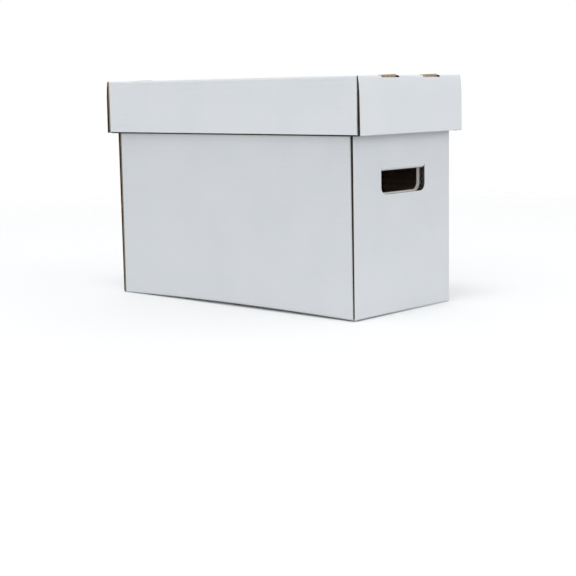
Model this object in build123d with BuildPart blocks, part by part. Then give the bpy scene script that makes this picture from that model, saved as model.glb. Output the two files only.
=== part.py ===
from build123d import *
import math
import os

# Archival storage box of white-faced corrugated board: a deep tray and a lift-off lid.
# Each is one die-cut sheet, folded up without glue. Here each sheet is divided at its creases,
# so every panel, flap, rim and lining is a piece of its own.
# Millimetres. The origin is on the floor under the middle of the box, +X runs along its length
# to the right end, -Y to the front, +Z up.

os.makedirs("parts", exist_ok=True)

# Board
board = 4.0  # thickness of the corrugated board
ply_gap = 0.2  # air between two plies that lie on each other
edge_gap = 0.3  # air between a cut edge and the board beside it
crease_radius = 3.0  # outside radius of a folded edge

# Tray, outside
tray_length = 409.0
tray_width = 192.0
tray_height = 283.0

# Lid, outside; its size along and across follows the tray
lid_depth = 68.5  # from the top face down to the end rims
lid_end_clearance = 3.0  # from the lid's lining to the tray's end wall
lid_side_clearance = 1.65  # from the lid's long skirts to the tray's long walls
skirt_rise = 1.5  # the long skirts stop this far above the end rims

# Corner flaps, which lie between the two plies of an end wall
tray_flap_length = 88.0
lid_flap_length = 84.0
flap_relief = 5.0  # how much lower and higher a flap's edges are at its free end

# Hand holes, cut on three sides and creased along the top
handle_width = 87.0
handle_height = 32.3
handle_bottom = 146.5  # height above the floor
handle_radius = 9.0  # lower corners
handle_rise = 1.0  # the lining's hole sits this much higher than the outer one
kerf = 0.5  # width of the cut at a handle flap's sides
flap_swing_gap = 0.3  # from a handle flap's swinging tip to the lower edge of the lining's hole
hinge_clearance = 0.3  # from a handle flap's creased edge to its crease
notch_clearance = 0.5  # the corner flaps are cut back this far from the hand hole

# Locking tabs of the linings, two at each end, and their slots
tab_spacing = 82.0  # centre to centre
tab_width = 31.0
tab_radius = 3.0  # corners of a tab's tip
slot_width = 34.0
slot_clearance = 0.3  # from a tab's faces to its slot, along the box
slot_drop = 2.5  # how far the lid's slots run down over the folded edge
tab_proud = 1.5  # the lid's tabs stand this far above the top
tab_recess = 0.5  # the tray's tabs stop this far above the underside

# Worked out from the sizes above
wall = 3 * board + 2 * ply_gap  # an end wall is three plies thick
tray_half_length = tray_length / 2
tray_half_width = tray_width / 2
lid_half_length = tray_half_length + lid_end_clearance + wall
lid_half_width = tray_half_width + lid_side_clearance + board
lid_top_height = tray_height + board
lid_bottom_height = lid_top_height - lid_depth
handle_crease = handle_bottom + handle_height
slot_depth = wall + slot_clearance  # from an end face to the inner edge of a slot
# A handle flap swings past the lining, whose hole has the higher lower edge: the tip's outer
# corner is the last to clear it, so the flap reaches this far below its crease
lip_below_crease = handle_height - handle_rise - flap_swing_gap
handle_reach = math.sqrt(lip_below_crease**2 + (board + 2 * ply_gap) ** 2 - board**2)

ends = [("left", -1), ("right", 1)]
sides = [("front", -1), ("rear", 1)]


def end_plane(half_length, depth, toward):
    """A plane inside an end wall, at a depth from its outer face, looking out of the box."""
    origin = (toward * (half_length - depth), 0, 0)
    return Plane(origin=origin, x_dir=(0, toward, 0), z_dir=(toward, 0, 0))


def long_panel(half_length, half_width, low, high, across, fold):
    """A long wall, folded at both ends and at its lowest (0) or highest (-1) edge."""
    outer_face = Plane(
        origin=(0, across * half_width, low), x_dir=(-across, 0, 0), z_dir=(0, across, 0)
    )
    outward = Axis(origin=(0, 0, 0), direction=(0, across, 0))
    with BuildPart() as panel:
        with BuildSketch(outer_face):
            length = 2 * (half_length - board - ply_gap)
            Rectangle(length, high - low, align=(Align.CENTER, Align.MIN))
        extrude(amount=-board)
        outer_edges = panel.faces().sort_by(outward)[-1].edges()
        fold_edge = outer_edges.filter_by(Axis.X).sort_by(Axis.Z)[fold]
        fillet(outer_edges.filter_by(Axis.Z) + [fold_edge], crease_radius)
    return panel


def corner_flap(half_length, half_width, length, low, high, toward, across, notch=None):
    """A flap that folds from the end of a long wall and lies inside an end wall."""
    side = toward * across
    root = half_width - board
    tip = root - length
    outline = [
        (side * root, low),
        (side * tip, low + flap_relief),
        (side * tip, high - flap_relief),
        (side * root, high),
    ]
    with BuildPart() as flap:
        with BuildSketch(end_plane(half_length, board + ply_gap, toward)):
            with BuildLine():
                Polyline(*outline, close=True)
            make_face()
            if notch is not None:
                with Locations((0, handle_crease + notch_clearance)):
                    add(notch, mode=Mode.SUBTRACT)
        extrude(amount=-board)
    return flap


def rim_strip(half_length, half_width, low, toward, crest):
    """The strip that joins an end wall's outer ply to its lining, rounded on its crest."""
    with BuildPart() as rim:
        with BuildSketch(end_plane(half_length, 0, toward)):
            with Locations((0, low)):
                width = 2 * (half_width - board - edge_gap)
                Rectangle(width, board, align=(Align.CENTER, Align.MIN))
        extrude(amount=-wall)
        fillet(rim.faces().sort_by(Axis.Z)[crest].edges().filter_by(Axis.Y), crease_radius)
    return rim


# The hand hole's outline hangs from its crease, which is the sketch's X axis
with BuildSketch() as handle_hole:
    Rectangle(handle_width, handle_height, align=(Align.CENTER, Align.MAX))
    fillet(handle_hole.vertices().group_by(Axis.Y)[0], handle_radius)

# The flap that the cut leaves in the hole
with BuildSketch() as handle_flap_outline:
    with Locations((0, -hinge_clearance)):
        flap_height = handle_reach - hinge_clearance
        Rectangle(handle_width - 2 * kerf, flap_height, align=(Align.CENTER, Align.MAX))
    fillet(handle_flap_outline.vertices().group_by(Axis.Y)[0], handle_radius - kerf)

# The same hole, larger all round, where the corner flaps are cut back
with BuildSketch() as handle_notch:
    notch_width = handle_width + 2 * notch_clearance
    notch_height = handle_height + 2 * notch_clearance
    Rectangle(notch_width, notch_height, align=(Align.CENTER, Align.MAX))
    fillet(handle_notch.vertices().group_by(Axis.Y)[0], handle_radius + notch_clearance)


# Tray bottom, with a slot for each tab of the two linings
with BuildPart() as tray_bottom:
    with BuildSketch(Plane.XY):
        Rectangle(tray_length - 2 * board, tray_width - 2 * board)
        slot_middle = tray_half_length - wall + board / 2
        with GridLocations(2 * slot_middle, tab_spacing, 2, 2):
            Rectangle(board + 2 * slot_clearance, slot_width, mode=Mode.SUBTRACT)
    extrude(amount=board)
tray_bottom.part.label = "tray_bottom"
export_step(tray_bottom.part, "parts/tray_bottom.step")

# Tray long walls, and the flap at each of their ends
for side_name, across in sides:
    panel = long_panel(tray_half_length, tray_half_width, 0, tray_height, across, 0)
    panel.part.label = f"tray_{side_name}_panel"
    export_step(panel.part, f"parts/{panel.part.label}.step")
    for end_name, toward in ends:
        flap = corner_flap(
            tray_half_length,
            tray_half_width,
            tray_flap_length,
            board + edge_gap,
            tray_height - board - edge_gap,
            toward,
            across,
            handle_notch.sketch,
        )
        flap.part.label = f"tray_{side_name}_{end_name}_corner_flap"
        export_step(flap.part, f"parts/{flap.part.label}.step")

# Tray end walls: outer ply, rolled rim, lining with its tabs, and the two handle flaps
for end_name, toward in ends:
    outward = Axis(origin=(0, 0, 0), direction=(toward, 0, 0))

    with BuildPart() as end_panel:
        with BuildSketch(end_plane(tray_half_length, 0, toward)):
            Rectangle(tray_width, tray_height - board, align=(Align.CENTER, Align.MIN))
            with Locations((0, handle_crease)):
                add(handle_hole.sketch, mode=Mode.SUBTRACT)
        extrude(amount=-board)
        lowest_edges = end_panel.edges().filter_by(Axis.Y).group_by(Axis.Z)[0]
        fillet(lowest_edges.sort_by(outward)[-1], crease_radius)
    end_panel.part.label = f"tray_{end_name}_end_panel"
    export_step(end_panel.part, f"parts/{end_panel.part.label}.step")

    rim = rim_strip(tray_half_length, tray_half_width, tray_height - board, toward, -1)
    rim.part.label = f"tray_{end_name}_rim"
    export_step(rim.part, f"parts/{rim.part.label}.step")

    with BuildPart() as lining:
        with BuildSketch(end_plane(tray_half_length, wall, toward)) as lining_outline:
            with Locations((0, board)):
                width = tray_width - 2 * (board + edge_gap)
                Rectangle(width, tray_height - 2 * board, align=(Align.CENTER, Align.MIN))
            with Locations((-tab_spacing / 2, board), (tab_spacing / 2, board)):
                Rectangle(tab_width, board - tab_recess, align=(Align.CENTER, Align.MAX))
            fillet(lining_outline.vertices().group_by(Axis.Y)[0], tab_radius)
            with Locations((0, handle_crease + handle_rise)):
                add(handle_hole.sketch, mode=Mode.SUBTRACT)
        extrude(amount=board)
    lining.part.label = f"tray_{end_name}_lining"
    export_step(lining.part, f"parts/{lining.part.label}.step")

    # Pushed in level, with its outer face down
    crease_line = (toward * (tray_half_length - board), 0, handle_crease)
    with BuildPart() as handle_flap:
        with BuildSketch(Plane(origin=crease_line, x_dir=(0, toward, 0), z_dir=(0, 0, -1))):
            add(handle_flap_outline.sketch)
        extrude(amount=board)
    handle_flap.part.label = f"{end_name}_handle_flap"
    export_step(handle_flap.part, f"parts/{handle_flap.part.label}.step")

    # Folded right up against the lining, above its hole
    lining_face = (toward * (tray_half_length - wall), 0, handle_crease + handle_rise)
    with BuildPart() as lining_flap:
        with BuildSketch(Plane(origin=lining_face, x_dir=(0, toward, 0), z_dir=(-toward, 0, 0))):
            add(handle_flap_outline.sketch)
        extrude(amount=board)
    lining_flap.part.label = f"{end_name}_lining_handle_flap"
    export_step(lining_flap.part, f"parts/{lining_flap.part.label}.step")


# Lid top, with a slot open to its end edge for each tab of the lid's linings
with BuildPart() as lid_top:
    with BuildSketch(Plane.XY.offset(tray_height)):
        Rectangle(2 * (lid_half_length - board), 2 * (lid_half_width - board))
        slot_length = slot_depth - board
        slot_middle = lid_half_length - board - slot_length / 2
        with GridLocations(2 * slot_middle, tab_spacing, 2, 2):
            Rectangle(slot_length, slot_width, mode=Mode.SUBTRACT)
    extrude(amount=board)
lid_top.part.label = "lid_top"
export_step(lid_top.part, "parts/lid_top.step")

# Lid long skirts, and the flap at each of their ends
for side_name, across in sides:
    skirt_bottom = lid_bottom_height + skirt_rise
    skirt = long_panel(lid_half_length, lid_half_width, skirt_bottom, lid_top_height, across, -1)
    skirt.part.label = f"lid_{side_name}_skirt"
    export_step(skirt.part, f"parts/{skirt.part.label}.step")
    for end_name, toward in ends:
        flap = corner_flap(
            lid_half_length,
            lid_half_width,
            lid_flap_length,
            lid_bottom_height + board + edge_gap,
            tray_height - edge_gap,
            toward,
            across,
        )
        flap.part.label = f"lid_{side_name}_{end_name}_corner_flap"
        export_step(flap.part, f"parts/{flap.part.label}.step")

# Lid end walls: outer ply, rolled rim, and the lining with its tabs
for end_name, toward in ends:
    outward = Axis(origin=(0, 0, 0), direction=(toward, 0, 0))
    ply_bottom = lid_bottom_height + board

    with BuildPart() as end_skirt:
        with BuildSketch(end_plane(lid_half_length, 0, toward)):
            with Locations((0, lid_top_height)):
                Rectangle(2 * lid_half_width, lid_depth - board, align=(Align.CENTER, Align.MAX))
        extrude(amount=-board)
        highest_edges = end_skirt.edges().filter_by(Axis.Y).group_by(Axis.Z)[-1]
        fillet(highest_edges.sort_by(outward)[-1], crease_radius)
        with BuildSketch(end_plane(lid_half_length, 0, toward)):
            with Locations(
                (-tab_spacing / 2, lid_top_height), (tab_spacing / 2, lid_top_height)
            ):
                Rectangle(slot_width, slot_drop, align=(Align.CENTER, Align.MAX))
        extrude(amount=-board, mode=Mode.SUBTRACT)
    end_skirt.part.label = f"lid_{end_name}_skirt"
    export_step(end_skirt.part, f"parts/{end_skirt.part.label}.step")

    rim = rim_strip(lid_half_length, lid_half_width, lid_bottom_height, toward, 0)
    rim.part.label = f"lid_{end_name}_rim"
    export_step(rim.part, f"parts/{rim.part.label}.step")

    with BuildPart() as lining:
        with BuildSketch(end_plane(lid_half_length, wall, toward)) as lining_outline:
            with Locations((0, ply_bottom)):
                width = 2 * (lid_half_width - board - edge_gap)
                Rectangle(width, tray_height - ply_bottom, align=(Align.CENTER, Align.MIN))
            with Locations((-tab_spacing / 2, tray_height), (tab_spacing / 2, tray_height)):
                Rectangle(tab_width, board + tab_proud, align=(Align.CENTER, Align.MIN))
            fillet(lining_outline.vertices().group_by(Axis.Y)[-1], tab_radius)
        extrude(amount=board)
    lining.part.label = f"lid_{end_name}_lining"
    export_step(lining.part, f"parts/{lining.part.label}.step")
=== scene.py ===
# %% [markdown]
# # A white corrugated archive box, closed, with its lid on
#
# The box is two sheets of corrugated board, folded up without glue: a deep tray, and a shallow
# lid that lifts off. This lesson builds every panel as real board, which is two thin paper
# liners with a wavy sheet between them, so that each cut edge shows what board shows.
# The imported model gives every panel's place and size. The script first loads it as a frame.

# %% Load the frame
import math

import bmesh
import bpy
from mathutils import Matrix, Vector


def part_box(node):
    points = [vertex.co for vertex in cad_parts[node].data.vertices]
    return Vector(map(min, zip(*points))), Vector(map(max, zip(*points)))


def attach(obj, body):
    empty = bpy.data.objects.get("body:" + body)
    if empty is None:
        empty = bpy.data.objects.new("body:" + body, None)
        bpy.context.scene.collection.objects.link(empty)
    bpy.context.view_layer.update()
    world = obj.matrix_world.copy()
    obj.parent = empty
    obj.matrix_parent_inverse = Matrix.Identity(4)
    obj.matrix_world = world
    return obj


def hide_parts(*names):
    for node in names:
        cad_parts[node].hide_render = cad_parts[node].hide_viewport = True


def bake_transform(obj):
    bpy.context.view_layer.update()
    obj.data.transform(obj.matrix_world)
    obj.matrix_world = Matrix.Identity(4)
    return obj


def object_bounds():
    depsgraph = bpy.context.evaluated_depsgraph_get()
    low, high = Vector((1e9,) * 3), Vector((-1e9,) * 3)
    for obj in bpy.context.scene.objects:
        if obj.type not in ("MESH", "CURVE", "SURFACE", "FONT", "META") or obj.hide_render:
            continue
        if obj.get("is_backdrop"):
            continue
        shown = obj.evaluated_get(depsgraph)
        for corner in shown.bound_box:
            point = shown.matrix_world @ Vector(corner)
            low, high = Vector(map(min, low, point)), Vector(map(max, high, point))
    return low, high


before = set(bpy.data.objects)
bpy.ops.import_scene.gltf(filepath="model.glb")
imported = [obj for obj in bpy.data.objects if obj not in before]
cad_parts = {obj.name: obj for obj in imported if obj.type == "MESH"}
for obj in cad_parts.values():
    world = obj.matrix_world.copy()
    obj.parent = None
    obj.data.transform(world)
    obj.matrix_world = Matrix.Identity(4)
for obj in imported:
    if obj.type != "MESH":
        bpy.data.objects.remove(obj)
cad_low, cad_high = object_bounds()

MM = 0.001
size = [round(value / MM, 1) for value in cad_high - cad_low]
print("frame:", len(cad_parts), "nodes,", size, "mm")

# %% [markdown]
# ## Light, floor and camera
#
# A white box on a white ground is shown by small differences of tone alone. The sky is white
# and brightest a third of the way up, like a light tent with its lamps set high around it. Its
# horizon is dim, so the lid throws a soft shadow on the tray, and overhead it is dim too, so
# the lid's top keeps its tone. One large lamp above and one beyond the end even out the faces.
# The floor fades out into the sky, so there is no horizon. The view transform is Standard,
# because a film-like curve would turn the white ground grey.

# %% Sky
scene = bpy.context.scene
scene.view_settings.view_transform = "Standard"

SKY_AT_HORIZON, SKY_BRIGHTEST, SKY_OVERHEAD = 0.2, 1.95, 0.2
BRIGHTEST_AT = 0.35  # the sine of its height above the horizon
SKY_COLOUR = (0.98, 0.99, 1.0, 1.0)
BACKDROP_COLOUR = (1.0, 1.0, 1.0, 1.0)  # what the camera sees in place of the sky


def map_range(tree, value, given, wanted):
    """A node that turns the range given into the one wanted, and stays at its ends outside."""
    node = tree.nodes.new("ShaderNodeMapRange")
    for name, number in zip(("From Min", "From Max", "To Min", "To Max"), (*given, *wanted)):
        node.inputs[name].default_value = number
    tree.links.new(value, node.inputs["Value"])
    return node


world = bpy.data.worlds.new("studio")
world.use_nodes = True
scene.world = world
tree = world.node_tree
nodes, links = tree.nodes, tree.links
sky = nodes["Background"]
sky.inputs["Color"].default_value = SKY_COLOUR
ray = nodes.new("ShaderNodeSeparateXYZ")
links.new(nodes.new("ShaderNodeNewGeometry").outputs["Incoming"], ray.inputs["Vector"])
down = ray.outputs["Z"]  # Incoming points back down the ray, so this is the height negated
rise = map_range(tree, down, (0.0, -BRIGHTEST_AT), (SKY_AT_HORIZON, SKY_BRIGHTEST))
fall = map_range(tree, down, (-BRIGHTEST_AT, -1.0), (SKY_BRIGHTEST, SKY_OVERHEAD))
lower = nodes.new("ShaderNodeMath")
lower.operation = "MINIMUM"
for slope, socket in zip((rise, fall), lower.inputs):
    links.new(slope.outputs["Result"], socket)
links.new(lower.outputs["Value"], sky.inputs["Strength"])
backdrop = nodes.new("ShaderNodeBackground")
backdrop.inputs["Color"].default_value = BACKDROP_COLOUR
seen_or_lit = nodes.new("ShaderNodeMixShader")
links.new(nodes.new("ShaderNodeLightPath").outputs["Is Camera Ray"], seen_or_lit.inputs[0])
links.new(sky.outputs["Background"], seen_or_lit.inputs[1])
links.new(backdrop.outputs["Background"], seen_or_lit.inputs[2])
links.new(seen_or_lit.outputs["Shader"], nodes["World Output"].inputs["Surface"])
print("sky: strength", SKY_AT_HORIZON, SKY_BRIGHTEST, SKY_OVERHEAD, "from horizon to top")

# %% Floor
FLOOR_COLOUR = (0.88, 0.88, 0.88, 1.0)
FLOOR_ROUGHNESS, FLOOR_SPECULAR = 0.9, 0.1
FLOOR_HALF_SIZE = 6.0
FLOOR_FADE = (0.6, 2.0)  # metres from the middle: where the floor starts to fade, and is gone


def new_material(name):
    """A material with an empty node tree but for its Principled shader and output."""
    material = bpy.data.materials.new(name)
    material.use_nodes = True
    return material, material.node_tree, material.node_tree.nodes["Principled BSDF"]


floor_paper, tree, floor_shader = new_material("floor_paper")
place = tree.nodes.new("ShaderNodeTexCoord").outputs["Object"]
far = tree.nodes.new("ShaderNodeVectorMath")
far.operation = "LENGTH"
tree.links.new(place, far.inputs[0])
fade = map_range(tree, far.outputs["Value"], FLOOR_FADE, (1.0, 0.0))
fade.interpolation_type = "SMOOTHSTEP"
tree.links.new(fade.outputs["Result"], floor_shader.inputs["Alpha"])
floor_shader.inputs["Base Color"].default_value = FLOOR_COLOUR
floor_shader.inputs["Roughness"].default_value = FLOOR_ROUGHNESS
floor_shader.inputs["Specular IOR Level"].default_value = FLOOR_SPECULAR

bm = bmesh.new()
bmesh.ops.create_grid(bm, x_segments=1, y_segments=1, size=FLOOR_HALF_SIZE)
floor_mesh = bpy.data.meshes.new("floor")
bm.to_mesh(floor_mesh)
bm.free()
floor_mesh.materials.append(floor_paper)
floor = bpy.data.objects.new("floor", floor_mesh)
scene.collection.objects.link(floor)
floor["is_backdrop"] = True
print("floor:", 2 * FLOOR_HALF_SIZE, "m wide")

# %% Lamps
KEY_PLACE, KEY_WIDTH, KEY_POWER = (0.4, -0.8, 2.6), 0.9, 16.0
FILL_PLACE, FILL_WIDTH, FILL_POWER = (2.4, 0.2, 1.3), 1.2, 5.0
BOX_MIDDLE = (0.0, 0.0, 0.15)


def area_lamp(name, place, target, width, power):
    """A square soft white lamp at place that faces target."""
    lamp = bpy.data.lights.new(name, "AREA")
    lamp.shape = "SQUARE"
    lamp.size = width
    lamp.energy = power
    lamp_object = bpy.data.objects.new(name, lamp)
    lamp_object.location = place
    direction = Vector(target) - Vector(place)
    lamp_object.rotation_euler = direction.to_track_quat("-Z", "Y").to_euler()
    scene.collection.objects.link(lamp_object)


area_lamp("key", KEY_PLACE, BOX_MIDDLE, KEY_WIDTH, KEY_POWER)
area_lamp("end_fill", FILL_PLACE, BOX_MIDDLE, FILL_WIDTH, FILL_POWER)
print("lamps: key, end_fill")

# %% [markdown]
# The camera stands at the box's right front corner, just below the height of the lid's top, so
# the top is seen edge on. Its long lens keeps the far corners large. It is placed by its own
# three axes, because a tilt of one degree about the line of sight is easiest to give there.

# %% Camera
CAMERA_PLACE = Vector((1.1650, -1.2799, 0.2743))
CAMERA_AZIMUTH = math.radians(41.98)
CAMERA_ELEVATION = math.radians(8.65)
CAMERA_ROLL = math.radians(-1.05)
LENS_MM = 82.17
SENSOR_MM = 36.0
SEEN_TO = 60.0  # metres

back = Vector((
    math.sin(CAMERA_AZIMUTH) * math.cos(CAMERA_ELEVATION),
    -math.cos(CAMERA_AZIMUTH) * math.cos(CAMERA_ELEVATION),
    math.sin(CAMERA_ELEVATION),
))
level_right = Vector((math.cos(CAMERA_AZIMUTH), math.sin(CAMERA_AZIMUTH), 0.0))
level_up = back.cross(level_right)
right = level_right * math.cos(CAMERA_ROLL) + level_up * math.sin(CAMERA_ROLL)
up = level_up * math.cos(CAMERA_ROLL) - level_right * math.sin(CAMERA_ROLL)

camera_data = bpy.data.cameras.new("camera")
camera_data.lens = LENS_MM
camera_data.sensor_width = SENSOR_MM
camera_data.clip_end = SEEN_TO
camera = bpy.data.objects.new("camera", camera_data)
scene.collection.objects.link(camera)
camera.matrix_world = Matrix.Translation(CAMERA_PLACE) @ Matrix((
    (right.x, up.x, back.x, 0.0),
    (right.y, up.y, back.y, 0.0),
    (right.z, up.z, back.z, 0.0),
    (0.0, 0.0, 0.0, 1.0),
))
scene.camera = camera
print("camera:", [round(value, 3) for value in camera.location], "lens", LENS_MM)

# %% [markdown]
# ## Board finishes
#
# The outside liner is white clay-coated paper. It isn't perfectly flat: glued to the wave
# below, it sinks a few hundredths of a millimetre between the flutes, and its colour is
# faintly cloudy. The wave's lines run with the flutes, so the finish comes in two directions.
# All finishes read Object coordinates, so neighbouring panels share one pattern and the
# pattern stays on the panel when it moves.

# %% Helpers for node finishes
FLUTE_PITCH = 7.9 * MM


def add_node(tree, kind, **values):
    """A new node with its sockets set by name."""
    node = tree.nodes.new(kind)
    for name, value in values.items():
        node.inputs[name.replace("_", " ")].default_value = value
    return node


def noise_on(tree, vector, scale, detail=4.0, roughness=0.55):
    """The output of a noise texture on a vector."""
    node = add_node(tree, "ShaderNodeTexNoise", Scale=scale, Detail=detail, Roughness=roughness)
    tree.links.new(vector, node.inputs["Vector"])
    return node.outputs["Fac"]


def stretched(tree, vector, scale):
    """The vector scaled by axis, which draws a noise out into fibres."""
    node = tree.nodes.new("ShaderNodeMapping")
    node.inputs["Scale"].default_value = scale
    tree.links.new(vector, node.inputs["Vector"])
    return node.outputs["Vector"]


def colour_ramp(tree, factor, stops):
    """A colour that goes through stops, each a position and a colour, as factor rises."""
    node = tree.nodes.new("ShaderNodeValToRGB")
    ramp = node.color_ramp
    while len(ramp.elements) < len(stops):
        ramp.elements.new(0.5)
    for element, (position, colour) in zip(ramp.elements, stops):
        element.position = position
        element.color = (*colour, 1.0)
    tree.links.new(factor, node.inputs["Fac"])
    return node.outputs["Color"]


def maths(tree, operation, first, second=None, third=None):
    """One arithmetic node; each operand is an output or a number."""
    node = tree.nodes.new("ShaderNodeMath")
    node.operation = operation
    for socket, operand in zip(node.inputs, (first, second, third)):
        if operand is None:
            continue
        if isinstance(operand, (int, float)):
            socket.default_value = operand
        else:
            tree.links.new(operand, socket)
    return node.outputs["Value"]


def mixed(tree, first, *others):
    """The sum of several outputs, each given with its share."""
    total = maths(tree, "MULTIPLY", *first)
    for output, part in others:
        total = maths(tree, "MULTIPLY_ADD", output, part, total)
    return total


def bump(tree, height, size, normal=None):
    """A normal tilted by height; size is the bump's strength and its distance."""
    node = add_node(tree, "ShaderNodeBump", Strength=size[0], Distance=size[1])
    tree.links.new(height, node.inputs["Height"])
    if normal is not None:
        tree.links.new(normal, node.inputs["Normal"])
    return node.outputs["Normal"]


def flute_wave(tree, vector, axis):
    """A height from 0 to 1 that rises and falls once per flute along an axis."""
    parts = tree.nodes.new("ShaderNodeSeparateXYZ")
    tree.links.new(vector, parts.inputs["Vector"])
    phase = maths(tree, "MULTIPLY", parts.outputs[axis], 2 * math.pi / FLUTE_PITCH)
    return maths(tree, "MULTIPLY_ADD", maths(tree, "SINE", phase), 0.5, 0.5)


# %% [markdown]
# The white liner: a cool white with a slow cloudiness a shade darker, fine paper grain, and
# the washboard of the flutes. Its coating is smooth, so it has a broad weak sheen. Tray and
# lid are two sheets; the lid's white is painted a little brighter as painted light, so the lid
# reads better lit than the tray below it. Round the hand holes the cutting rule
# stretches the liner over the edge, where it is thin, matt and paler.

# %% White liner
WHITE = (0.575, 0.596, 0.616)
WHITE_SHADE = (0.556, 0.577, 0.599)
WHITE_TINT = (0.592, 0.609, 0.626)
WHITE_STOPS = ((0.30, WHITE_SHADE), (0.50, WHITE), (0.72, WHITE_TINT))
# The lid's factor is painted light: a brighter copy of the tray's white, standing in for the lid
# being lit more than the tray.
TRAY_WHITE, LID_PAINTED_LIGHT, PULLED_WHITE = (1.0, 1.0, 1.0), (1.12, 1.12, 1.12), (1.38, 1.30, 1.22)
CLOUD_SCALE, GRAIN_SCALE, SAG_SCALE = 14.0, 900.0, 9.0  # cells of noise in a metre
CLOUD_SHARE, GRAIN_SHARE, WAVE_SHARE = 0.72, 0.22, 0.07  # of the liner's tone
WHITE_ROUGHNESS, ROUGHNESS_SPREAD, WHITE_SPECULAR = 0.44, 0.16, 0.35
WASHBOARD_BUMP, SAG_BUMP, GRAIN_BUMP = (0.11, 0.16 * MM), (0.20, 3.0 * MM), (0.10, 0.06 * MM)


def white_liner(name, across, tint):
    """Coated white paper, whose washboard rises and falls along the axis across."""
    material, tree, shader = new_material(name)
    place = tree.nodes.new("ShaderNodeTexCoord").outputs["Object"]
    cloud = noise_on(tree, place, CLOUD_SCALE, detail=3.0)
    grain = noise_on(tree, place, GRAIN_SCALE, detail=2.0)
    wave = flute_wave(tree, place, across)
    tone = mixed(tree, (cloud, CLOUD_SHARE), (grain, GRAIN_SHARE), (wave, WAVE_SHARE))
    stops = [(at, tuple(a * b for a, b in zip(colour, tint))) for at, colour in WHITE_STOPS]
    tree.links.new(colour_ramp(tree, tone, stops), shader.inputs["Base Color"])
    roughness = maths(tree, "MULTIPLY_ADD", cloud, ROUGHNESS_SPREAD, WHITE_ROUGHNESS)
    tree.links.new(roughness, shader.inputs["Roughness"])
    shader.inputs["Specular IOR Level"].default_value = WHITE_SPECULAR
    washboard = bump(tree, wave, WASHBOARD_BUMP)
    sag = bump(tree, noise_on(tree, place, SAG_SCALE, detail=1.0), SAG_BUMP, washboard)
    tree.links.new(bump(tree, grain, GRAIN_BUMP, sag), shader.inputs["Normal"])
    return material


whites = {
    (group, axis): white_liner(f"{group}_white_{axis.lower()}", axis, tint)
    for group, tint in (("tray", TRAY_WHITE), ("lid", LID_PAINTED_LIGHT)) for axis in "YZ"
}
pulled_white = white_liner("pulled_white", "Y", PULLED_WHITE)
print("white liners:", ", ".join(m.name for m in whites.values()), pulled_white.name)

# %% [markdown]
# The inside liner is brown kraft: long fibres that catch the light, dark and pale specks,
# and the same washboard. Kraft is rough, so it has almost no sheen.

# %% Kraft liner
KRAFT_DARK = (0.235, 0.165, 0.105)
KRAFT = (0.365, 0.268, 0.182)
KRAFT_PALE = (0.455, 0.345, 0.245)
KRAFT_STOPS = ((0.34, KRAFT_DARK), (0.50, KRAFT), (0.66, KRAFT_PALE))
TAB_BRIGHTNESS = 1.65
FIBRE_STRETCH = (1.0, 3.5, 3.0)
FIBRE_SCALE, SPECK_SCALE, KRAFT_CLOUD_SCALE = 260.0, 1400.0, 18.0
FIBRE_SHARE, SPECK_SHARE, KRAFT_CLOUD_SHARE, KRAFT_WAVE_SHARE = 0.50, 0.25, 0.17, 0.08
KRAFT_ROUGHNESS, KRAFT_SPECULAR = 0.86, 0.2
KRAFT_WASHBOARD_BUMP, FIBRE_BUMP = (0.35, 0.25 * MM), (0.35, 0.12 * MM)


def kraft_liner(name, across, brightness=1.0):
    """Brown paper with fibres and specks."""
    material, tree, shader = new_material(name)
    place = tree.nodes.new("ShaderNodeTexCoord").outputs["Object"]
    along_fibres = stretched(tree, place, FIBRE_STRETCH)
    fibres = noise_on(tree, along_fibres, FIBRE_SCALE, detail=5.0)
    specks = noise_on(tree, place, SPECK_SCALE, detail=1.0)
    cloud = noise_on(tree, place, KRAFT_CLOUD_SCALE, detail=2.0)
    wave = flute_wave(tree, place, across)
    tone = mixed(
        tree, (specks, SPECK_SHARE), (fibres, FIBRE_SHARE), (cloud, KRAFT_CLOUD_SHARE),
        (wave, KRAFT_WAVE_SHARE),
    )
    stops = [(at, tuple(brightness * part for part in colour)) for at, colour in KRAFT_STOPS]
    tree.links.new(colour_ramp(tree, tone, stops), shader.inputs["Base Color"])
    shader.inputs["Roughness"].default_value = KRAFT_ROUGHNESS
    shader.inputs["Specular IOR Level"].default_value = KRAFT_SPECULAR
    washboard = bump(tree, wave, KRAFT_WASHBOARD_BUMP)
    tree.links.new(bump(tree, fibres, FIBRE_BUMP, washboard), shader.inputs["Normal"])
    return material


kraft_by_axis = {axis: kraft_liner(f"kraft_liner_{axis.lower()}", axis) for axis in "YZ"}
tab_kraft = kraft_liner("tab_kraft", "Y", TAB_BRIGHTNESS)
print("kraft liners:", ", ".join(m.name for m in kraft_by_axis.values()), tab_kraft.name)

# %% [markdown]
# The wavy middle sheet and the liners' cut edges are the darkest brown. Part of that is the
# recycled fibre, torn by the cutting rule; the rest is painted shade, darker than the paper
# itself, for the little light that falls in between the liners.

# %% Fluting paper
# These browns are partly painted shade: darker than fluting paper, for the gaps between the
# liners.
FLUTING_DARK = (0.036, 0.028, 0.022)
FLUTING = (0.074, 0.059, 0.047)
FLUTING_PALE = (0.140, 0.112, 0.090)
FLUTING_STOPS = ((0.36, FLUTING_DARK), (0.50, FLUTING), (0.64, FLUTING_PALE))
TORN_SCALE, TORN_SHARE, TORN_BUMP = 700.0, 0.6, (0.6, 0.2 * MM)
PATCHES_SCALE, PATCHES_SHARE = 90.0, 0.4
FLUTING_ROUGHNESS, FLUTING_SPECULAR = 0.95, 0.1

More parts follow.
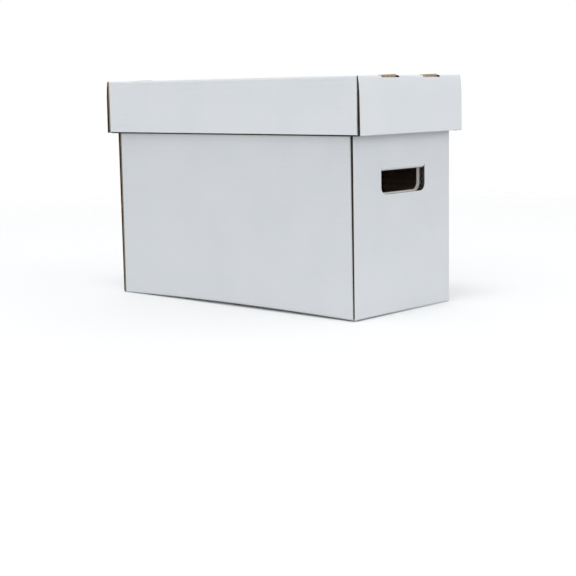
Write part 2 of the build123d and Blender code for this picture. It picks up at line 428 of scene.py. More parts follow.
fluting_paper_and_shade, tree, shader = new_material("fluting_paper_and_shade")
place = tree.nodes.new("ShaderNodeTexCoord").outputs["Object"]
torn = noise_on(tree, place, TORN_SCALE, detail=6.0, roughness=0.7)
patches = noise_on(tree, place, PATCHES_SCALE, detail=2.0)
tone = mixed(tree, (patches, PATCHES_SHARE), (torn, TORN_SHARE))
tree.links.new(colour_ramp(tree, tone, FLUTING_STOPS), shader.inputs["Base Color"])
shader.inputs["Roughness"].default_value = FLUTING_ROUGHNESS
shader.inputs["Specular IOR Level"].default_value = FLUTING_SPECULAR
tree.links.new(bump(tree, torn, TORN_BUMP), shader.inputs["Normal"])
print("fluting:", fluting_paper_and_shade.name)

# %% [markdown]
# ## A panel of board
#
# A solid slab would show a plain edge. A modeller could paint flutes on it, but they would
# vanish up close. So a panel starts as an outline, which is filled, cut into a grid of
# patches so that it can bend, and given its thickness. Its folded edges are rounded with a
# bevel, its cut edges are opened by deleting their faces, and a wavy grid is laid inside.
# A Solidify modifier then turns every open skin into paper, liners and wave at once.
#
# Each panel is drawn flat: u runs across it, v up it, and w out of its white face, which lies
# at w = 0. The matrix from turn_to() stands it up in the box.

# %% Outline helpers
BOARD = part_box("lid_top")[1].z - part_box("lid_top")[0].z
PAPER = 0.36 * MM
FOLD_RADIUS = 3.0 * MM
ARC_STEPS = 6
FOLD_STEPS = 5
SAME = 0.02 * MM  # places closer than this are the same
CUT_TOLERANCE = 1e-7  # metres
FLAT_ANGLE = 0.01  # radians
SHARP_ANGLE = math.radians(32)
UP = {"X": Vector((0, 0, 1)), "Y": Vector((0, 0, 1)), "Z": Vector((0, 1, 0))}
AXES = {"X": Vector((1, 0, 0)), "Y": Vector((0, 1, 0)), "Z": Vector((0, 0, 1))}


def turn_to(facing, face_at):
    """The matrix that stands a flat panel up with its white face towards facing, as in '-Y'."""
    sign = -1.0 if facing[0] == "-" else 1.0
    outward = AXES[facing[1]] * sign
    upward = UP[facing[1]]
    across = upward.cross(outward)
    turned = Matrix((across, upward, outward)).transposed().to_4x4()
    return Matrix.Translation(AXES[facing[1]] * face_at) @ turned


def flat_extent(node, facing):
    """A node's box in the panel's own u and v, and where its white face lies."""
    low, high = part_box(node)
    axis = "XYZ".index(facing[1])
    face_at = low[axis] if facing[0] == "-" else high[axis]
    to_flat = turn_to(facing, face_at).inverted()
    corners = (to_flat @ low, to_flat @ high)
    u_values = sorted(corner.x for corner in corners)
    v_values = sorted(corner.y for corner in corners)
    return u_values[0], u_values[1], v_values[0], v_values[1], face_at


def rectangle(u0, u1, v0, v1):
    return [(u0, v0), (u1, v0), (u1, v1), (u0, v1)]


def arc(u, v, radius, start, end):
    """Points along a round corner, from the angle start to the angle end, in degrees."""
    points = []
    for step in range(ARC_STEPS + 1):
        angle = math.radians(start + (end - start) * step / ARC_STEPS)
        points.append((u + radius * math.cos(angle), v + radius * math.sin(angle)))
    return points


def round_bottomed(u0, u1, v0, v1, radius):
    """A rectangle with its two lower corners rounded: the shape of a hand hole."""
    left = arc(u0 + radius, v0 + radius, radius, 180, 270)
    right_side = arc(u1 - radius, v0 + radius, radius, 270, 360)
    return left + right_side + [(u1, v1), (u0, v1)]


# %% Board builder
WAVE_STEPS = 8
CUT_BACK = 0.7 * MM  # from a cut edge to the ends of the flutes
CRUSHED = 2.4 * MM  # from a cut edge that runs with the flutes to the first whole flute
# Baring the dark edge this way is partly painted shade, a dark line for the shadow under the
# lid's long skirts.
SHORT_BY = 1.8 * MM  # how far the cutting rule drags the white liner back along a lower edge
WRAP = 2.0 * MM  # how far the white liner turns over onto the brown side round a lined hole
WAVE_CLEARANCE = 1.6 * PAPER  # from the board's faces to the wave's crests
PATCH = 32.0 * MM
WHITE_SLOT, BROWN_SLOT, WAVE_SLOT, TURNED_SLOT = 0, 1, 2, 4
HIDDEN_SHIFT = 2  # from a paper's material slot to the slot of its hidden side and rim


def slice_at(bm, point, normal):
    """Cuts every face of a flat mesh along a line."""
    geometry = list(bm.verts) + list(bm.edges) + list(bm.faces)
    bmesh.ops.bisect_plane(
        bm, geom=geometry, dist=CUT_TOLERANCE, plane_co=point, plane_no=normal
    )


def on_line(point, ends):
    """Whether a point of the flat panel lies on the line through two others."""
    a, b = (Vector((*end, 0.0)) for end in ends)
    along = (b - a).normalized()
    offset = Vector((point.x, point.y, 0.0)) - a
    return (offset - along * offset.dot(along)).length < SAME


def inside_box(point, box):
    """Whether a point of the flat panel lies in a box, given as u0, u1, v0, v1."""
    return box[0] < point.x < box[1] and box[2] < point.y < box[3]


def lay_wave(bm, spread, along, cuts):
    """One stretch of the wavy middle sheet; its flutes run along 'u' or 'v'."""
    u0, u1, v0, v1 = spread
    u_back, v_back = (CRUSHED, CUT_BACK) if along == "v" else (CUT_BACK, CRUSHED)
    u0, u1, v0, v1 = u0 + u_back, u1 - u_back, v0 + v_back, v1 - v_back
    width = (u1 - u0) if along == "v" else (v1 - v0)
    steps = max(2, round(width / FLUTE_PITCH * WAVE_STEPS))
    patches = max(1, round(((v1 - v0) if along == "v" else (u1 - u0)) / PATCH))
    u_steps, v_steps = (steps, patches) if along == "v" else (patches, steps)
    made = bmesh.ops.create_grid(bm, x_segments=u_steps, y_segments=v_steps, size=0.5)["verts"]
    bmesh.ops.scale(bm, vec=(u1 - u0, v1 - v0, 1.0), verts=made)
    bmesh.ops.translate(bm, vec=((u0 + u1) / 2, (v0 + v1) / 2, 0.0), verts=made)
    swing = BOARD / 2 - WAVE_CLEARANCE
    for vert in made:
        run = vert.co.x if along == "v" else vert.co.y
        vert.co.z = -BOARD / 2 + swing * math.sin(2 * math.pi * run / FLUTE_PITCH)
    faces = list({face for vert in made for face in vert.link_faces})
    for face in faces:
        face.material_index = WAVE_SLOT
    for point, outward in cuts:
        edges = list({edge for face in faces for edge in face.edges})
        verts = list({vert for face in faces for vert in face.verts})
        cut = bmesh.ops.bisect_plane(
            bm, geom=verts + edges + faces, dist=CUT_TOLERANCE,
            plane_co=(*point, 0.0), plane_no=(*outward, 0.0), clear_outer=True,
        )
        faces = [item for item in cut["geom"] if isinstance(item, bmesh.types.BMFace)]


def extent_inside_folds(u0, u1, v0, v1, folds, radius):
    """The panel's box, drawn in from its rounded sides, where the wave stops."""
    for start, end in folds:
        if start[0] == end[0] == u0:
            u0 += radius
        elif start[0] == end[0] == u1:
            u1 -= radius
        elif start[1] == end[1] == v0:
            v0 += radius
        elif start[1] == end[1] == v1:
            v1 -= radius
    return u0, u1, v0, v1


def fill_outline(bm, loops):
    """The flat face inside the first loop and outside the others."""
    edges = []
    for loop in loops:
        verts = [bm.verts.new((u, v, 0.0)) for u, v in loop]
        edges += [bm.edges.new(pair) for pair in zip(verts, verts[1:] + verts[:1])]
    bmesh.ops.triangle_fill(bm, use_beauty=True, use_dissolve=False, edges=edges)
    bmesh.ops.dissolve_limit(
        bm, angle_limit=FLAT_ANGLE, use_dissolve_boundaries=False, verts=bm.verts, edges=bm.edges
    )


def new_piece(name, bm, materials):
    """A smooth object made from a bmesh in the row frame."""
    mesh = bpy.data.meshes.new(name)
    bm.to_mesh(mesh)
    bm.free()
    for material in materials:
        mesh.materials.append(material)
    mesh.shade_smooth()
    mesh.set_sharp_from_angle(angle=SHARP_ANGLE)
    piece = bpy.data.objects.new(name, mesh)
    scene.collection.objects.link(piece)
    return piece


def finish_board(name, bm, materials, node):
    """The object made from a board's open skins, which its modifier turns into paper."""
    piece = new_piece(name, bm, materials)
    paper = piece.modifiers.new("paper", "SOLIDIFY")
    paper.thickness = PAPER
    paper.offset = -1.0
    paper.use_even_offset = True
    paper.material_offset = HIDDEN_SHIFT
    paper.material_offset_rim = HIDDEN_SHIFT
    shading = piece.modifiers.new("shading", "WEIGHTED_NORMAL")
    shading.keep_sharp = True
    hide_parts(node)
    return piece


def board(
    name, node, facing, along, body, slot_name,
    loops=None, folds=(), joined=(), lined=(), short=(), waves=None, cuts=(), settle=None,
    kraft=None, radius=FOLD_RADIUS, slices=(), splits=(),
):
    """A panel of corrugated board in place of a CAD node.

    facing is where its white face looks and along is the way of its flutes, 'u' or 'v'.
    folds are outline sides rounded over as a crease, and joined are sides that run on into
    the next panel; each is a pair of points. Every other side is a cut edge, open between
    its liners. lined is a box whose cut edges the white liner covers, and it turns over onto
    the brown side by WRAP. short is a lower cut side, where the white liner stops SHORT_BY
    above the rest. slices and splits are further places in v and in u to cut the patches at.
    """
    u0, u1, v0, v1, face_at = flat_extent(node, facing)
    loops = loops or [rectangle(u0, u1, v0, v1)]
    bm = bmesh.new()
    fill_outline(bm, loops)
    for count, start, width, direction in (
        (round((u1 - u0) / PATCH), u0, u1 - u0, (1, 0, 0)),
        (round((v1 - v0) / PATCH), v0, v1 - v0, (0, 1, 0)),
    ):
        for step in range(1, count):
            slice_at(bm, Vector(direction) * (start + width * step / count), direction)
    for height in slices:
        slice_at(bm, Vector((0, height, 0)), (0, 1, 0))
    for place in splits:
        slice_at(bm, Vector((place, 0, 0)), (1, 0, 0))
    if lined:
        wrapped = (lined[0] - WRAP, lined[1] + WRAP, lined[2] - WRAP, lined[3] + WRAP)
        for index, value in enumerate(wrapped):
            direction = Vector((1, 0, 0)) if index < 2 else Vector((0, 1, 0))
            slice_at(bm, direction * value, direction)

    front = list(bm.faces)
    made = bmesh.ops.extrude_face_region(bm, geom=front, use_keep_orig=True)["geom"]
    behind = [item for item in made if isinstance(item, bmesh.types.BMVert)]
    bmesh.ops.translate(bm, vec=(0, 0, -BOARD), verts=behind)
    bmesh.ops.recalc_face_normals(bm, faces=bm.faces)
    for face in bm.faces:
        middle = face.calc_center_median()
        face.material_index = BROWN_SLOT if middle.z < -BOARD + SAME else WHITE_SLOT
        if face.material_index == BROWN_SLOT and lined and inside_box(middle, wrapped):
            face.material_index = TURNED_SLOT

    open_faces = []
    for face in bm.faces:
        middle = face.calc_center_median()
        if abs(face.normal.z) > 0.5:
            continue
        if any(on_line(middle, side) for side in (*folds, *joined)):
            continue
        if lined and inside_box(middle, lined):
            face.material_index = TURNED_SLOT
            continue
        open_faces.append(face)
    bmesh.ops.delete(bm, geom=open_faces, context="FACES_ONLY")
    if short:
        for vert in bm.verts:
            if abs(vert.co.z) < SAME and on_line(vert.co, short):
                vert.co.y += SHORT_BY
    creases = []
    for edge in bm.edges:
        at_front = all(abs(vert.co.z) < SAME for vert in edge.verts)
        if at_front and any(all(on_line(vert.co, side) for vert in edge.verts) for side in folds):
            creases.append(edge)
    if creases:
        bmesh.ops.bevel(
            bm, geom=creases, offset=radius, offset_type="OFFSET", segments=FOLD_STEPS,
            profile=0.5, affect="EDGES", clamp_overlap=True, material=-1,
        )
    clear = extent_inside_folds(u0, u1, v0, v1, folds, radius)
    for spread in waves or [(u0, u1, v0, v1)]:
        kept = (
            max(spread[0], clear[0]), min(spread[1], clear[1]),
            max(spread[2], clear[2]), min(spread[3], clear[3]),
        )
        lay_wave(bm, kept, along, cuts)
    bmesh.ops.transform(bm, matrix=turn_to(facing, face_at), verts=bm.verts)
    if settle:
        for vert in bm.verts:
            vert.co += settle(vert.co)
    # The washboard rises and falls up a standing panel with level flutes, and else in Y.
    across_axis = "Z" if along == "u" and facing[1] != "Z" else "Y"
    white = whites["lid" if slot_name == "lid_board" else "tray", across_axis]
    brown = kraft or kraft_by_axis[across_axis]
    materials = [white, brown, fluting_paper_and_shade, fluting_paper_and_shade, pulled_white]
    piece = finish_board(name, bm, materials, node)
    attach(piece, body)


def side(u0, u1, v0, v1, which):
    """One side of a rectangle, as two points: 'left', 'right', 'bottom' or 'top'."""
    return {
        "left": ((u0, v0), (u0, v1)),
        "right": ((u1, v0), (u1, v1)),
        "bottom": ((u0, v0), (u1, v0)),
        "top": ((u0, v1), (u1, v1)),
    }[which]


print("board:", round(BOARD / MM, 2), "mm with", round(PAPER / MM, 2), "mm papers")

# %% [markdown]
# ## How the board gives
#
# Folded board is never quite flat. The lid's top rises a millimetre in the middle, where its
# creases push back, and its long skirts lean in a little at mid-length. Its ends are drawn in
# at the top fold and stand straighter below it, so a corner's raw edge starts thin at the top
# and soon widens. The tray's long walls belly out, its long lower edges bow up off the floor,
# and one corner stands off it. Near a corner the outer ply is squeezed thinner. Each is a
# smooth push on every vertex, the same for both liners and the wave between them.

# %% Settling
LID_LOW, LID_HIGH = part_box("lid_front_skirt")[0].copy(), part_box("lid_rear_skirt")[1].copy()
LID_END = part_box("lid_right_skirt")[1].x
LID_UNDER_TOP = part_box("lid_top")[0].z
TRAY_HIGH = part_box("tray_rear_panel")[1].copy()
TRAY_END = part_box("tray_right_end_panel")[1].x
TAB_OFFSET = 41.0 * MM  # from the box's middle line to the middle of a lining's tab
TAB_WIDTH = 31.0 * MM
LID_CROWN = 1.0 * MM
SKIRT_LEAN = 0.9 * MM
END_LEAN = 0.8 * MM
END_TUCK = 2.0 * MM  # how much further in an end's top fold is pulled
TUCK_FROM = 265.0 * MM  # the height where that starts
DRAWN_IN_FROM = (150.0 * MM, 200.0 * MM)  # the stretch of the lid's top that takes up the lean
TAB_BEND = 277.0 * MM  # the height where a lining starts to bend out towards its tabs
TAB_SINK = 0.3 * MM
TAB_TILT = 0.8 * MM  # from one side of a tab's tip to the other
TAB_SPRING = 2.6 * MM
WALL_BELLY = 0.8 * MM
EDGE_BOW = 3.0 * MM
CORNER_LIFT = 1.6 * MM
LIFT_HEIGHT = 80.0 * MM  # where the bow and the lifted corner have died out
CORNER_SQUEEZE = 2.0 * MM
SQUEEZED_PLIES = 2.2 * BOARD  # from an end's outer face to just behind its corner flaps
SQUEEZE_WIDTH = 33.0 * MM  # from a corner to where the plies are at full thickness


def share(value, start, end):
    """How far value has gone from start to end, from 0 to 1."""
    return min(1.0, max(0.0, (value - start) / (end - start)))


def push_out(place, amount):
    """A push along the box's length, away from its middle."""
    return Vector((math.copysign(1.0, place.x) * amount, 0, 0))


def drawn_in(height):
    """How far an end of the lid is drawn in at a height."""
    tuck = END_TUCK * share(height, TUCK_FROM, LID_HIGH.z) ** 2
    return END_LEAN * share(height, LID_LOW.z, LID_HIGH.z) + tuck


def lid_gives(place):
    """How far the lid's top and long skirts have moved, at a place in the closed box."""
    along = max(0.0, 1.0 - (place.x / LID_HIGH.x) ** 2)
    across = max(0.0, 1.0 - (place.y / LID_HIGH.y) ** 2)
    if place.z > LID_UNDER_TOP - SAME and abs(place.y) < LID_HIGH.y - BOARD:
        near_corner = share(abs(place.y), LID_HIGH.y - SQUEEZE_WIDTH, LID_HIGH.y)
        pull = drawn_in(place.z) * share(abs(place.x), *DRAWN_IN_FROM) * (1.0 - near_corner)
        return Vector((0, 0, LID_CROWN * along * across)) + push_out(place, -pull)
    lean = SKIRT_LEAN * along * share(place.z, LID_HIGH.z, LID_LOW.z)
    return Vector((0, -math.copysign(lean, place.y), 0))


def lid_end_gives(place):
    """The same for an end's outer ply, rim and corner flaps."""
    near_corner = share(abs(place.y), LID_HIGH.y - SQUEEZE_WIDTH, LID_HIGH.y)
    through = share(abs(place.x), LID_END - BOARD, LID_END)
    kept = through + (1.0 - through) * (1.0 - near_corner)
    return push_out(place, -drawn_in(place.z) * kept)


def lid_lining_gives(place):
    """The same for a lining, whose tabs spring out against their slots and stand tilted."""
    tab = share(place.z, TAB_BEND, LID_HIGH.z)
    middle = math.copysign(TAB_OFFSET, place.y)
    lower_end = 1.0 - share(place.y, middle - TAB_WIDTH / 2, middle + TAB_WIDTH / 2)
    sprung = push_out(place, TAB_SPRING * tab - drawn_in(place.z) * (1.0 - tab))
    return sprung - Vector((0, 0, (TAB_SINK + TAB_TILT * lower_end) * tab))


def tray_gives(place):
    """How far the tray's board has moved."""
    toward = Vector((place.x / TRAY_HIGH.x, place.y / TRAY_HIGH.y))
    along = max(0.0, 1.0 - toward.x ** 2)
    height = share(place.z, 0.0, TRAY_HIGH.z)
    bow = EDGE_BOW * along * toward.y ** 4
    corner = CORNER_LIFT * (1.0 + toward.x) / 2 * (1.0 - toward.y) / 2
    push = Vector((0, 0, (bow + corner) * (1.0 - share(place.z, 0.0, LIFT_HEIGHT))))
    squeeze = CORNER_SQUEEZE * (1.0 - height)
    if abs(place.y) > TRAY_HIGH.y - BOARD - SAME and abs(place.x) < TRAY_END - BOARD:
        push.y = math.copysign(WALL_BELLY * along * math.sin(math.pi * height) ** 2, place.y)
        fold = TRAY_END - BOARD
        return push + push_out(place, squeeze * share(abs(place.x), fold - SQUEEZE_WIDTH, fold))
    in_floor = place.z < BOARD + SAME and abs(place.x) < TRAY_END - BOARD - SAME
    if abs(place.x) > TRAY_END - SQUEEZED_PLIES and not in_floor:
        near_corner = share(abs(place.y), TRAY_HIGH.y - SQUEEZE_WIDTH, TRAY_HIGH.y)
        inside = share(abs(place.x), TRAY_END, TRAY_END - BOARD)
        push += push_out(place, squeeze * near_corner * inside)
    return push


# %% [markdown]
# ## The tray
#
# Its floor and long walls come first. A long wall is one sheet that folds up from the floor
# and round at both ends, so three of its sides are creases and only the top is cut.

# %% Tray floor and long walls
SIDES = {"front": "-Y", "rear": "+Y"}
ENDS = {"left": "-X", "right": "+X"}

SLOT_WIDTH = 34.0 * MM
SLOT_CLEARANCE = 0.3 * MM  # on both sides of a tab

floor_extent = flat_extent("tray_bottom", "-Z")[:4]
lining_low, lining_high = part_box("tray_right_lining")
slot_inner = lining_low.x - SLOT_CLEARANCE
slot_outer = lining_high.x + SLOT_CLEARANCE
floor_loops = [rectangle(*floor_extent)]
for u_side in (-1, 1):
    for v_middle in (-TAB_OFFSET, TAB_OFFSET):
        slot_u = sorted((u_side * slot_inner, u_side * slot_outer))
        v_low, v_high = v_middle - SLOT_WIDTH / 2, v_middle + SLOT_WIDTH / 2
        floor_loops.append(rectangle(*slot_u, v_low, v_high))
floor_waves = [(-slot_inner, slot_inner, floor_extent[2], floor_extent[3])]
board(
    "tray_floor", "tray_bottom", "-Z", "u", "tray", "tray_board",
    loops=floor_loops, waves=floor_waves,
    joined=[side(*floor_extent, which) for which in ("left", "right", "top", "bottom")],
    settle=tray_gives,
)

for side_name, facing in SIDES.items():
    node = f"tray_{side_name}_panel"
    extent = flat_extent(node, facing)[:4]
    board(
        f"tray_{side_name}_wall", node, facing, "u", "tray", "tray_board",
        folds=[side(*extent, which) for which in ("left", "right", "bottom")],
        settle=tray_gives,
    )
print("tray: floor and two long walls")

# %% [markdown]
# A corner flap is the end of a long wall, folded in and trapped between the plies of the end
# wall. It narrows towards its free end so that it slips in, and the tray's flaps are cut back
# round the hand hole like a letter C. Its wave is laid in three stretches round that bay.

# %% Corner flaps
HANDLE_HALF_WIDTH = 43.5 * MM
HANDLE_BOTTOM = 146.5 * MM
HANDLE_CREASE = 178.8 * MM
HANDLE_RADIUS = 9.0 * MM
LINING_RISE = 1.0 * MM
NOTCH_CLEARANCE = 0.5 * MM
FLAP_RELIEF = 5.0 * MM


def flap_outline(root, tip, v0, v1, bay):
    """The loop, the wave's stretches and its slanted cuts; bay is the side of the hand hole."""
    sign = math.copysign(1.0, root - tip)
    loop = [(root, v0), (root, v1), (tip, v1 - FLAP_RELIEF)]
    stretches = [(min(root, tip), max(root, tip), v0, v1)]
    if bay:
        edge = sign * (HANDLE_HALF_WIDTH + NOTCH_CLEARANCE)
        bottom, top = HANDLE_BOTTOM - NOTCH_CLEARANCE, HANDLE_CREASE + NOTCH_CLEARANCE
        radius = HANDLE_RADIUS + NOTCH_CLEARANCE
        centre_u = edge - sign * radius
        turn = (0, -90) if sign > 0 else (180, 270)
        loop += [(tip, top), (edge, top)]
        loop += arc(centre_u, bottom + radius, radius, *turn) + [(tip, bottom)]
        tip_side = (min(edge, tip), max(edge, tip))
        stretches = [
            (min(root, edge), max(root, edge), v0, v1),
            (*tip_side, v0, bottom),
            (*tip_side, top, v1),
        ]
    loop.append((tip, v0 + FLAP_RELIEF))
    reach = abs(root - tip)
    lean = (-sign * FLAP_RELIEF, reach)
    cuts = [
        ((root, v1 - CUT_BACK), lean),
        ((root, v0 + CUT_BACK), (lean[0], -reach)),
    ]
    return loop, stretches, cuts


for group in ("tray", "lid"):
    for side_name in SIDES:
        for end_name, facing in ENDS.items():
            node = f"{group}_{side_name}_{end_name}_corner_flap"
            u0, u1, v0, v1, _ = flat_extent(node, facing)
            root, tip = (u1, u0) if u0 + u1 > 0 else (u0, u1)
            loop, stretches, cuts = flap_outline(root, tip, v0, v1, bay=group == "tray")
            board(
                f"{group}_{side_name}_{end_name}_tuck_flap", node, facing, "u", group,
                f"{group}_board", loops=[loop], waves=stretches, cuts=cuts,
                joined=[((root, v0), (root, v1))],
                settle=tray_gives if group == "tray" else lid_end_gives,
            )
print("corner flaps: 8")

# %% [markdown]
# An end wall is three plies. The outer ply folds up from the floor, so its flutes stand
# upright and its raw side edges show at the corners. The rim rolls over the top. The lining
# hangs inside with its white face to the box's inside, and its tabs lock into the floor.
# The cutting rule pulled the liner over the edge of the lining's hand hole, so that edge is
# white where the others are brown.

# %% Tray end walls
TAB_RADIUS = 3.0 * MM
OPPOSITE = {"-X": "+X", "+X": "-X"}


def hand_hole(rise=0.0):
    """The hand hole's loop, raised by rise."""
    low, high = HANDLE_BOTTOM + rise, HANDLE_CREASE + rise
    return round_bottomed(-HANDLE_HALF_WIDTH, HANDLE_HALF_WIDTH, low, high, HANDLE_RADIUS)


def around_hole(u0, u1, v0, v1, rise=0.0):
    """The four stretches of wave beside, under and over the hand hole."""
    low, high = HANDLE_BOTTOM + rise, HANDLE_CREASE + rise
    return [
        (u0, -HANDLE_HALF_WIDTH, v0, v1),
        (HANDLE_HALF_WIDTH, u1, v0, v1),
        (-HANDLE_HALF_WIDTH, HANDLE_HALF_WIDTH, v0, low),
        (-HANDLE_HALF_WIDTH, HANDLE_HALF_WIDTH, high, v1),
    ]


def tabbed(u0, u1, base, far, tip, radius=TAB_RADIUS):
    """A rectangle from base to far with two tabs that reach from its base to tip."""
    sign = math.copysign(1.0, base - tip)
    loop = [(u0, base)]
    for middle in (-TAB_OFFSET, TAB_OFFSET):
        low, high = middle - TAB_WIDTH / 2, middle + TAB_WIDTH / 2
        centre_v = tip + sign * radius
        first = (180, 270) if sign > 0 else (180, 90)
        second = (270, 360) if sign > 0 else (90, 0)
        loop.append((low, base))
        loop += arc(low + radius, centre_v, radius, *first)
        loop += arc(high - radius, centre_v, radius, *second)
        loop.append((high, base))
    return loop + [(u1, base), (u1, far), (u0, far)]


def tab_waves(base, tip):
    """The stretches of wave inside the two tabs."""
    low, high = sorted((base, tip))
    half = TAB_WIDTH / 2
    return [(middle - half, middle + half, low, high) for middle in (-TAB_OFFSET, TAB_OFFSET)]


floor_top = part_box("tray_bottom")[1].z

for end_name, facing in ENDS.items():
    node = f"tray_{end_name}_end_panel"
    extent = flat_extent(node, facing)[:4]
    board(
        f"tray_{end_name}_end_ply", node, facing, "v", "tray", "tray_board",
        loops=[rectangle(*extent), hand_hole()], waves=around_hole(*extent),
        folds=[side(*extent, "bottom")], joined=[side(*extent, "top")], settle=tray_gives,
    )

    node = f"tray_{end_name}_rim"
    extent = flat_extent(node, "+Z")[:4]
    board(
        f"tray_{end_name}_rolled_rim", node, "+Z", "u", "tray", "tray_board",
        folds=[side(*extent, which) for which in ("left", "right")],
    )

    node = f"tray_{end_name}_lining"
    u0, u1, v0, v1, _ = flat_extent(node, OPPOSITE[facing])
    hole_box = (
        -HANDLE_HALF_WIDTH - SAME, HANDLE_HALF_WIDTH + SAME,
        HANDLE_BOTTOM + LINING_RISE - SAME, HANDLE_CREASE + LINING_RISE + SAME,
    )
    waves = around_hole(u0, u1, floor_top, v1, LINING_RISE) + tab_waves(floor_top, v0)
    board(
        f"tray_{end_name}_inner_ply", node, OPPOSITE[facing], "v", "tray", "tray_board",
        loops=[tabbed(u0, u1, floor_top, v1, v0), hand_hole(LINING_RISE)], waves=waves,
        joined=[((u0, v1), (u1, v1))], lined=hole_box, settle=tray_gives,
    )
print("tray end walls: outer ply, rim and lining, left and right")

# %% [markdown]
# ## Handle flaps
#
# The die leaves a flap in each hand hole, attached along the top. The outer one is pushed in
# level, and its white face turns down. It pushes the lining's flap up against the lining.
# At the crease the board is crushed to a wedge that the white liner wraps. The wedge is spun
# about the crease.

# %% Handle flaps and their creases
CREASE_CORE = 0.35 * MM  # from the crease line to the wedge
CREASE_STEPS = 8
FLAP_RADIUS = HANDLE_RADIUS - NOTCH_CLEARANCE
CORNER_INSET = 0.36 * FLAP_RADIUS  # from a square corner to the cut that follows a round one


def tip_rounded(u0, u1, v0, v1, tip):
    """A rectangle whose two corners at the side tip are rounded."""
    r = FLAP_RADIUS
    corners = {
        (u0, v0): (u0 + r, v0 + r, 180, 270),
        (u1, v0): (u1 - r, v0 + r, 270, 360),
        (u1, v1): (u1 - r, v1 - r, 0, 90),
        (u0, v1): (u0 + r, v1 - r, 90, 180),
    }
    at_tip = {"low_u": lambda u, v: u == u0, "high_u": lambda u, v: u == u1,
              "high_v": lambda u, v: v == v1}[tip]
    loop = []
    for corner, bend in corners.items():
        loop += arc(bend[0], bend[1], r, bend[2], bend[3]) if at_tip(*corner) else [corner]
    return loop


def flap_cuts(u0, u1, v0, v1, tip):
    """Slanted cuts that keep the wave inside the flap's round corners."""
    cuts = []
    for u, lean_u in ((u0, -1), (u1, 1)):
        for v, lean_v in ((v0, -1), (v1, 1)):
            rounded = {"low_u": lean_u < 0, "high_u": lean_u > 0, "high_v": lean_v > 0}[tip]
            if rounded:
                point = (u - lean_u * CORNER_INSET, v - lean_v * CORNER_INSET)
                cuts.append((point, (lean_u, lean_v)))
    return cuts


def crease_wedge(name, pivot, toward):
    """The crushed board at a handle flap's crease, from the wall's face round to the flap's."""
    width = 2 * (HANDLE_HALF_WIDTH - NOTCH_CLEARANCE)
    depth = BOARD - CREASE_CORE
    bm = bmesh.new()
    made = bmesh.ops.create_grid(bm, x_segments=1, y_segments=1, size=0.5)
    bmesh.ops.scale(bm, vec=(depth, width, 1.0), verts=made["verts"])
    middle = pivot + Vector((toward * (CREASE_CORE + depth / 2), 0, 0))
    bmesh.ops.translate(bm, vec=middle, verts=made["verts"])
    bmesh.ops.spin(
        bm, geom=list(bm.verts) + list(bm.edges) + list(bm.faces), cent=pivot,
        axis=(0, toward, 0), dvec=(0, 0, 0), angle=math.pi / 2, steps=CREASE_STEPS,
        space=Matrix.Identity(4), use_merge=False, use_duplicate=False,
    )
    open_edges = [edge for edge in bm.edges if edge.is_boundary]
    bmesh.ops.holes_fill(bm, edges=open_edges, sides=0)
    bmesh.ops.recalc_face_normals(bm, faces=bm.faces)
    for face in bm.faces:
        face.material_index = WAVE_SLOT if abs(face.normal.y) > 0.5 else WHITE_SLOT
    piece = new_piece(name, bm, (whites["tray", "Y"], kraft_by_axis["Y"], fluting_paper_and_shade))
    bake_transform(piece)


for end_name, facing in ENDS.items():
    toward = -1.0 if facing[0] == "-" else 1.0
    node = f"{end_name}_handle_flap"
    extent = flat_extent(node, "-Z")[:4]
    tip, crease_side = ("low_u", "right") if toward < 0 else ("high_u", "left")
    board(
        f"{end_name}_outer_hand_flap", node, "-Z", "u", node, "handle_flap_board",
        loops=[tip_rounded(*extent, tip)], cuts=flap_cuts(*extent, tip),
        joined=[side(*extent, crease_side)],
    )
    pivot_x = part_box(f"tray_{end_name}_end_panel")[0 if toward > 0 else 1].x
    pivot = Vector((pivot_x, 0.0, HANDLE_CREASE))
    crease_wedge(f"{end_name}_hand_crease", pivot, toward)

    node = f"{end_name}_lining_handle_flap"
    extent = flat_extent(node, facing)[:4]
    board(
        f"{end_name}_inner_hand_flap", node, facing, "v", node, "handle_flap_board",
        loops=[tip_rounded(*extent, "high_v")], cuts=flap_cuts(*extent, "high_v"),
        joined=[side(*extent, "bottom")],
    )
print("handle flaps: 4, creases: 2")

# %% [markdown]
# ## The lid
#
# The lid is folded the same way as the tray. Its slots run across the end creases, so a
# tab's brown inner face shows in each and its tip stands a little proud of the top. The long
# skirts end in a cut edge, where the white liner stops short and the dark board shows as a
# line. That dark board hangs below the skirt's edge in the imported model, so the line is partly
# the cut edge and partly painted shade for the shadow under the lid. The end skirts roll
# under, so theirs is a tight clean fold.

# %% Lid top and skirts
SLOT_DROP = 2.5 * MM
ROLL_RADIUS = 1.2 * MM
SLOTTED_FOLD_RADIUS = 2.3 * MM  # less than SLOT_DROP, so the fold ends above the slots' floor
LID_TAB_RADIUS = 1.5 * MM
# The brown layers that hang below are partly painted shade, a dark strip for the shadow under the
# lid's long skirts.
RAW_EDGE_DROP = 2.2 * MM  # how far a long skirt's brown layers hang below its CAD edge
CORNER_STRIP = 4.3 * MM  # how far an end's rim stops short of the outer ply's sides
CORNER_PATCH = 0.8 * MM  # small patches keep the turn of a rim's cut end out of the flat face

u0, u1, v0, v1, _ = flat_extent("lid_top", "+Z")
lid_lining_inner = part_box("lid_right_lining")[0].x
slot_end = lid_lining_inner - SLOT_CLEARANCE
slot_edges = [middle + half * SLOT_WIDTH / 2
              for middle in (-TAB_OFFSET, TAB_OFFSET) for half in (-1, 1)]
right_edge = [(u1, v0)]
for index, v in enumerate(slot_edges):
    right_edge += [(u1, v), (slot_end, v)] if index % 2 == 0 else [(slot_end, v), (u1, v)]
right_edge.append((u1, v1))
top_loop = right_edge + [(-u, v) for u, v in reversed(right_edge)]
board(
    "lid_panel", "lid_top", "+Z", "u", "lid", "lid_board",
    loops=[top_loop], waves=[(-slot_end, slot_end, v0, v1)],
    joined=[side(u0, u1, v0, v1, which) for which in ("left", "right", "top", "bottom")],
    settle=lid_gives,
)

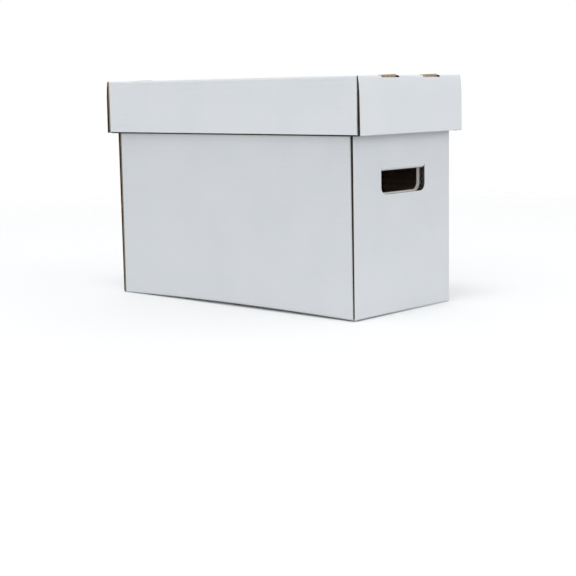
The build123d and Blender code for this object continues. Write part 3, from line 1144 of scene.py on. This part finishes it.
for side_name, facing in SIDES.items():
    node = f"lid_{side_name}_skirt"
    u0, u1, v0, v1, _ = flat_extent(node, facing)
    v0 -= RAW_EDGE_DROP
    board(
        f"lid_{side_name}_long_skirt", node, facing, "u", "lid", "lid_board",
        loops=[rectangle(u0, u1, v0, v1)], waves=[(u0, u1, v0, v1)],
        folds=[side(u0, u1, v0, v1, which) for which in ("left", "right", "top")],
        short=side(u0, u1, v0, v1, "bottom"), settle=lid_gives,
    )

for end_name, facing in ENDS.items():
    node = f"lid_{end_name}_skirt"
    u0, u1, v0, v1, _ = flat_extent(node, facing)
    rim_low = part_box(f"lid_{end_name}_rim")[0].z
    top_edge = [(u1 - CORNER_STRIP, v0), (u1 - CORNER_STRIP, rim_low), (u1, rim_low), (u1, v1)]
    for index, u in enumerate(reversed(slot_edges)):
        notch = [(u, v1), (u, v1 - SLOT_DROP)]
        top_edge += notch if index % 2 == 0 else notch[::-1]
    loop = top_edge + [(u0, v1), (u0, rim_low)]
    loop += [(u0 + CORNER_STRIP, rim_low), (u0 + CORNER_STRIP, v0)]
    board(
        f"lid_{end_name}_end_skirt", node, facing, "v", "lid", "lid_board",
        loops=[loop], folds=[side(u0, u1, v0, v1, "top")], radius=SLOTTED_FOLD_RADIUS,
        joined=[side(u0, u1, v0, v1, "bottom"), side(u0, u1, rim_low, v1, "bottom")],
        waves=[(u0, u1, v0, TUCK_FROM), (u0, u1, TUCK_FROM, v1 - SLOT_DROP)],
        slices=(rim_low + CORNER_PATCH, TUCK_FROM, TAB_BEND),
        splits=(u0 + CORNER_STRIP + CORNER_PATCH, u1 - CORNER_STRIP - CORNER_PATCH),
        settle=lid_end_gives,
    )

    node = f"lid_{end_name}_rim"
    extent = flat_extent(node, "-Z")[:4]
    board(
        f"lid_{end_name}_rolled_rim", node, "-Z", "u", "lid", "lid_board",
        folds=[side(*extent, which) for which in ("left", "right")], radius=ROLL_RADIUS,
        slices=(extent[2] + CORNER_PATCH, extent[3] - CORNER_PATCH), settle=lid_end_gives,
    )

    node = f"lid_{end_name}_lining"
    u0, u1, v0, v1, _ = flat_extent(node, OPPOSITE[facing])
    board(
        f"lid_{end_name}_inner_ply", node, OPPOSITE[facing], "v", "lid", "lid_board",
        loops=[tabbed(u0, u1, LID_UNDER_TOP, v0, v1, LID_TAB_RADIUS)],
        joined=[((u0, v0), (u1, v0))], slices=(TAB_BEND,),
        waves=[(u0, u1, v0, TAB_BEND)] + tab_waves(TAB_BEND, v1), kraft=tab_kraft,
        settle=lid_lining_gives,
    )
print("lid: top, 4 skirts, 2 rims, 2 linings")

# %% [markdown]
# ## Sizes
#
# The looks must not outgrow the imported model, so how far the box grew past it is printed.

# %% Measure and finish
seen_low, seen_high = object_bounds()
grown = (seen_high - seen_low) - (cad_high - cad_low)
print("box grew by", [round(value / MM, 2) for value in grown], "mm")
